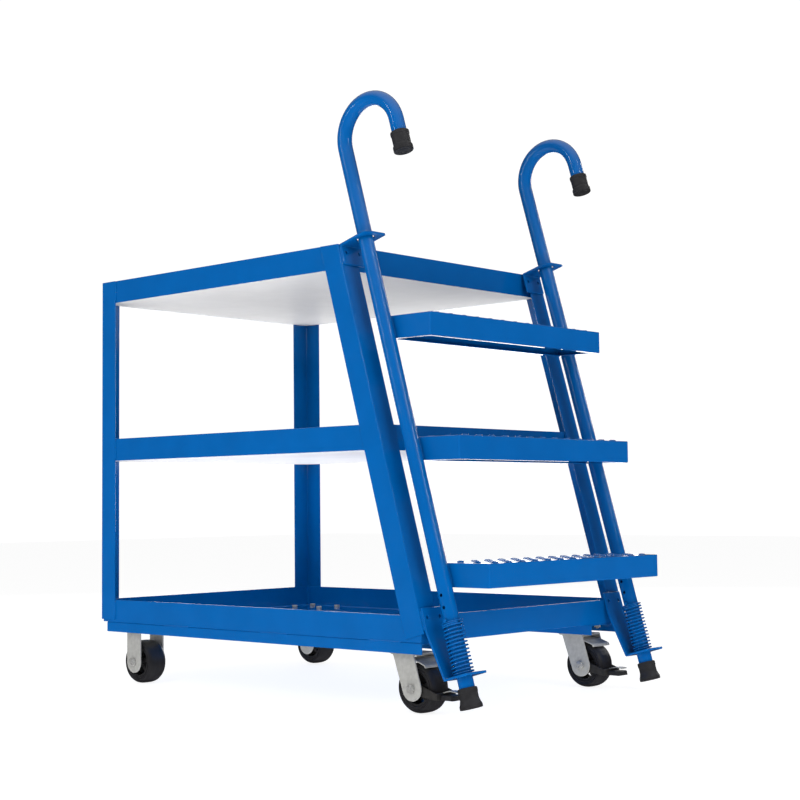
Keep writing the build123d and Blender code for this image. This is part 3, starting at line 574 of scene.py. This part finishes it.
# ------------------------------------------------------------------ casters
for side in SIDES:
    soften(f"rear_fork_{side}", FORK_FOLD)
    soften(f"front_fork_{side}", FORK_FOLD)
    soften(f"front_plate_{side}", PLATE_EDGE)
    for axle in (f"rear_axle_{side}", f"front_axle_{side}"):
        soften(axle, AXLE_EDGE).data.materials[0] = MATERIALS["bright_zinc"]
    soften(f"kingpin_{side}", KINGPIN_EDGE)
    # the lever's arms are blacked steel, its tread tab bright
    lever = soften(f"brake_lever_{side}", LEVER_EDGE)
    lever.data.materials.append(MATERIALS["dark_steel"])
    tab_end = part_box(f"brake_lever_{side}")[0][1] + TREAD_TAB
    for face in lever.data.polygons:
        face.material_index = 1 if face.center.y > tab_end else 0
    soften(f"brake_pad_{side}", PAD_EDGE)

    # ball race: two rolled rings with a groove between them, and the balls that show in it
    race = f"ball_race_{side}"
    at = on_axis(race, Z)
    low, high = reach(race, Z, at)
    outer = half_width(race, X, at)
    groove = outer - RACE_GROOVE
    inner = outer - RACE_WALL
    profile = rounded([
        (low, inner), (low, outer - RACE_CHAMFER), (low + RACE_EDGE, outer),
        (low + RACE_BAND, groove), (high - RACE_BAND, groove),
        (high - RACE_EDGE, outer), (high, outer - RACE_CHAMFER), (high, inner), (low, inner),
    ], RACE_ROUND, 3)
    bm = bmesh.new()
    add_lathe(bm, profile[:-1], at, Z, RACE_SEGMENTS)
    for angle in circle(BALLS):
        spot = at + Vector((math.cos(angle), math.sin(angle), 0)) * (groove + 0.2 * MM)
        spot += Z * (low + high) / 2
        bmesh.ops.create_icosphere(bm, subdivisions=2, radius=BALL,
                                   matrix=Matrix.Translation(spot))
    piece(f"ball_ring_{side}", bm, BODY[race], SLOT[race], [race])
for node in ("caster_bolts", "caster_nuts"):
    soften(node, BOLT_EDGE, 2)

# ------------------------------------------------------------------ weld beads
# stitches under the tray: along each channel's outer side, and between them on its inner side
tray_low, tray_high = [Vector(corner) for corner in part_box("bottom_tray")]
for side, s in SIDES.items():
    bm = bmesh.new()
    rail = f"caster_rail_{side}"
    rail_front, rail_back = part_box(rail)[0][1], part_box(rail)[1][1]
    outside = far("bottom_tray", s) - s * 1.2 * MM
    inside = far(rail, -s) - s * PROUD
    starts = [rail_back - FIRST_STITCH + STITCH_PITCH - k * STITCH_PITCH for k in range(5)]
    for start in starts:
        end = start - STITCH
        if start < rail_back and end > rail_front:
            z = tray_low.z - 1.0 * MM
            add_bead(bm, Vector((outside, start, z)), Vector((outside, end, z)))
    for start in starts:
        middle = start - STITCH / 2 - STITCH_PITCH / 2
        if rail_front + STITCH < middle < rail_back - STITCH:
            z = tray_low.z - 1.2 * MM
            add_bead(bm, Vector((inside, middle + STITCH / 3, z)),
                     Vector((inside, middle - STITCH / 3, z)))
    piece(f"rail_welds_{side}", bm, "cart", "blue_paint")

# rear posts to the shelves: a bead down the free edge of each flange
for side, s in SIDES.items():
    bm = bmesh.new()
    post = f"rear_post_{side}"
    post_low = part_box(post)[0]
    for shelf in SHELVES:
        low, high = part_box(shelf)
        foot = max(low[2] + CLEAR, post_low[2] + 2 * MM)
        head = high[2] - CLEAR
        x, y = far(shelf, s) + s * PROUD, post_low[1] - BARELY
        add_bead(bm, Vector((x, y, foot)), Vector((x, y, head)), POST_BEAD)
        x, y = far(post, -s) - s * BARELY, high[1] + PROUD
        add_bead(bm, Vector((x, y, foot)), Vector((x, y, head)), POST_BEAD)
    piece(f"rear_post_welds_{side}", bm, "cart", "blue_paint")

# front posts to the shelves: these beads lean with the post
for side, s in SIDES.items():
    post = f"front_post_{side}"
    front = reach(post, BACK)[0]                 # the post's front plane

    def behind_front(x, depth, z, shift=0.0):
        """The point at x and z that lies a depth behind the post's front plane."""
        return Vector((x, (front + depth - z * BACK.z) / BACK.y + shift, z))

    bm = bmesh.new()
    inner = far(post, -s)
    for shelf in SHELVES:
        low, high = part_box(shelf)
        x = far(shelf, s) + s * PROUD
        foot = max(low[2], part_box(post)[0][2]) + 4 * MM
        ends = [behind_front(x, POST_FLANGE, z, 0.5 * MM) for z in (foot, high[2] - CLEAR)]
        add_bead(bm, ends[0], ends[1], POST_BEAD)
        if shelf != "bottom_tray":
            ends = [behind_front(inner - s * BARELY, ANGLE_WALL, z)
                    for z in (high[2] - CLEAR, high[2] - LAP)]
            add_bead(bm, ends[0], ends[1], FLANGE_BEAD)
    # the front flange's foot on the tray's upper edge
    y, z = tray_low.y + BARELY, tray_high.z + 0.2 * MM
    add_bead(bm, Vector((inner + s * CLEAR, y, z)), Vector((far(post, s) - s * 2 * CLEAR, y, z)),
             POST_BEAD)
    piece(f"front_post_welds_{side}", bm, "cart", "blue_paint")

# steps to the tubes: a bead down the front and the back of each joint
TUBE_SIDE = 8.5 * MM                 # from the tube's middle plane to each bead
for node in STEPS:
    low, high = [Vector(corner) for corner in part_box(node)]
    for side, s in SIDES.items():
        bm = bmesh.new()
        axis_point = on_axis(f"spring_washer_{side}", UP)
        x = far(node, s) + s * 0.9 * MM
        for offset in (-TUBE_SIDE, TUBE_SIDE):
            ends = []
            for z in (low.z + CLEAR, high.z - 5 * MM):
                point = axis_point + UP * ((z - axis_point.z) / UP.z)
                ends.append(Vector((x, point.y + offset, z)))
            if min(end.y for end in ends) > low.y and max(end.y for end in ends) < high.y:
                add_bead(bm, ends[0], ends[1], STEP_BEAD)
        if len(bm.verts):
            piece(f"{node}_welds_{side}", bm, "ladder", "blue_paint")
        else:
            bm.free()

# brackets to the front posts: where each bead starts and ends below the bracket's top
BRACKET_BEADS = {"top_bracket": (44 * MM, 8 * MM), "bottom_bracket": (46 * MM, 6 * MM)}
for side, s in SIDES.items():
    bm = bmesh.new()
    post = f"front_post_{side}"
    post_middle = (far(post, 1) + far(post, -1)) / 2
    on_post = BACK * (reach(post, BACK)[0] - 0.8 * MM)
    for bracket, (start, end) in BRACKET_BEADS.items():
        node = f"{bracket}_{side}"
        top = reach(node, UP)[1]
        for x in (far(node, -1) - 0.2 * MM, far(node, 1) + 0.2 * MM):
            if abs(x) > abs(post_middle) - POST_FLANGE / 2:
                edge = Vector((x, 0, 0)) + on_post
                add_bead(bm, edge + UP * (top - start), edge + UP * (top - end), STEP_BEAD)
    piece(f"bracket_welds_{side}", bm, "cart", "blue_paint")

# ------------------------------------------------------------------ CAD nodes that still show
for node, obj in frame["nodes"].items():
    if not obj.hide_render:
        for slot in obj.material_slots:
            slot.material = MATERIALS[SLOT[node]]

# ------------------------------------------------------------------ floor
FLOOR_HALF = 14.0
floor_mesh = bpy.data.meshes.new("floor")
floor_mesh.from_pydata([(-FLOOR_HALF, -FLOOR_HALF, 0), (FLOOR_HALF, -FLOOR_HALF, 0),
                        (FLOOR_HALF, FLOOR_HALF, 0), (-FLOOR_HALF, FLOOR_HALF, 0)],
                       [], [(0, 1, 2, 3)])
floor = bpy.data.objects.new("floor", floor_mesh)
bpy.context.scene.collection.objects.link(floor)
floor.location.z = -0.5 * MM
floor_material, tree, shader, _ = new_material("floor_finish")
shader.inputs["Base Color"].default_value = (0.30, 0.30, 0.30, 1)
shader.inputs["Roughness"].default_value = 0.9
shader.inputs["Specular IOR Level"].default_value = 0.1
shader.inputs["Emission Color"].default_value = (1, 1, 1, 1)
shader.inputs["Emission Strength"].default_value = 0.88
floor_mesh.materials.append(floor_material)
floor.visible_glossy = False

# ------------------------------------------------------------------ world
scene = bpy.context.scene
scene.view_settings.view_transform = "Standard"
world = bpy.data.worlds.new("studio")
scene.world = world
world.use_nodes = True
tree = world.node_tree
tree.nodes.clear()
output = tree.nodes.new("ShaderNodeOutputWorld")
path = tree.nodes.new("ShaderNodeLightPath")


def background(colour, strength):
    node = tree.nodes.new("ShaderNodeBackground")
    node.inputs["Color"].default_value = colour + (1,)
    node.inputs["Strength"].default_value = strength
    return node.outputs["Background"]


def mixed(factor, first, second):
    node = tree.nodes.new("ShaderNodeMixShader")
    tree.links.new(factor, node.inputs["Fac"])
    tree.links.new(first, node.inputs[1])
    tree.links.new(second, node.inputs[2])
    return node.outputs["Shader"]


# what the gloss reflects: a dim room that brightens towards the ceiling
WHITE = (1.0, 1.0, 1.0)
DIM_ROOM = (0.035, 0.03, 0.035, 1)
CEILING = (0.75, 0.75, 0.75, 1)
direction = tree.nodes.new("ShaderNodeTexCoord")
split = tree.nodes.new("ShaderNodeSeparateXYZ")
tree.links.new(direction.outputs["Generated"], split.inputs["Vector"])
room = tree.nodes.new("ShaderNodeValToRGB")
room.color_ramp.elements[0].position = 0.05
room.color_ramp.elements[0].color = DIM_ROOM
room.color_ramp.elements[1].position = 0.9
room.color_ramp.elements[1].color = CEILING
shoulder = room.color_ramp.elements.new(0.42)
shoulder.color = DIM_ROOM
tree.links.new(split.outputs["Z"], room.inputs["Fac"])
reflected = tree.nodes.new("ShaderNodeBackground")
tree.links.new(room.outputs["Color"], reflected.inputs["Color"])
fill = background(WHITE, 0.26)
seen = background(WHITE, 1.05)
lit = mixed(path.outputs["Is Glossy Ray"], fill, reflected.outputs["Background"])
tree.links.new(mixed(path.outputs["Is Camera Ray"], lit, seen), output.inputs["Surface"])

# ------------------------------------------------------------------ lights
middle = (Vector(cad_box[0]) + Vector(cad_box[1])) / 2


def softbox(name, place, width, height, power, glossy=True, target=middle):
    light = bpy.data.lights.new(name, "AREA")
    light.shape = "RECTANGLE"
    light.size = width
    light.size_y = height
    light.energy = power
    made = bpy.data.objects.new(name, light)
    made.location = place
    made.rotation_euler = (Vector(target) - Vector(place)).to_track_quat("-Z", "Y").to_euler()
    made.visible_glossy = glossy
    made.visible_camera = False
    scene.collection.objects.link(made)


# broad boxes light the paint, thin strips draw the bright lines on the tubes
softbox("key", (-3.4, -0.9, 2.3), 1.8, 1.8, 66, glossy=False)
softbox("front", (-0.6, -4.0, 2.3), 1.8, 1.8, 60, glossy=False)
softbox("strip_front", (0.45, -3.7, 2.75), 0.04, 1.8, 8)
softbox("strip_right", (3.4, -1.0, 1.85), 0.05, 1.8, 9)
softbox("strip_left", (-3.6, 1.8, 1.9), 0.05, 1.8, 9)
softbox("behind", (3.0, 2.7, 0.8), 2.4, 1.0, 26)
# light thrown back up by the pale floor, and into the bay under the middle shelf
softbox("bounce", (0, 0, 0.004), 4.5, 4.5, 60, glossy=False, target=(0, 0, 1))
softbox("under_middle", (0, 0.22, 0.27), 0.45, 0.6, 0.9, glossy=False, target=(0, 0.22, 1))

# ------------------------------------------------------------------ camera, as in the photograph
YAW, PITCH, ROLL = math.radians(-47.63), math.radians(3.80), math.radians(-0.59)
EYE = Vector((-2.6713, -2.5192, 0.4199))
camera_data = bpy.data.cameras.new("camera")
camera = bpy.data.objects.new("camera", camera_data)
scene.collection.objects.link(camera)
scene.camera = camera
camera_data.sensor_width = 36
camera_data.lens = 70.515
forward = Vector((-math.sin(YAW) * math.cos(PITCH), math.cos(YAW) * math.cos(PITCH),
                  math.sin(PITCH)))
level = forward.cross(Z).normalized()
upright = level.cross(forward)
right = level * math.cos(ROLL) + upright * math.sin(ROLL)
above = upright * math.cos(ROLL) - level * math.sin(ROLL)
turn = Matrix((right, above, -forward)).transposed()
camera.matrix_world = Matrix.Translation(EYE) @ turn.to_4x4()
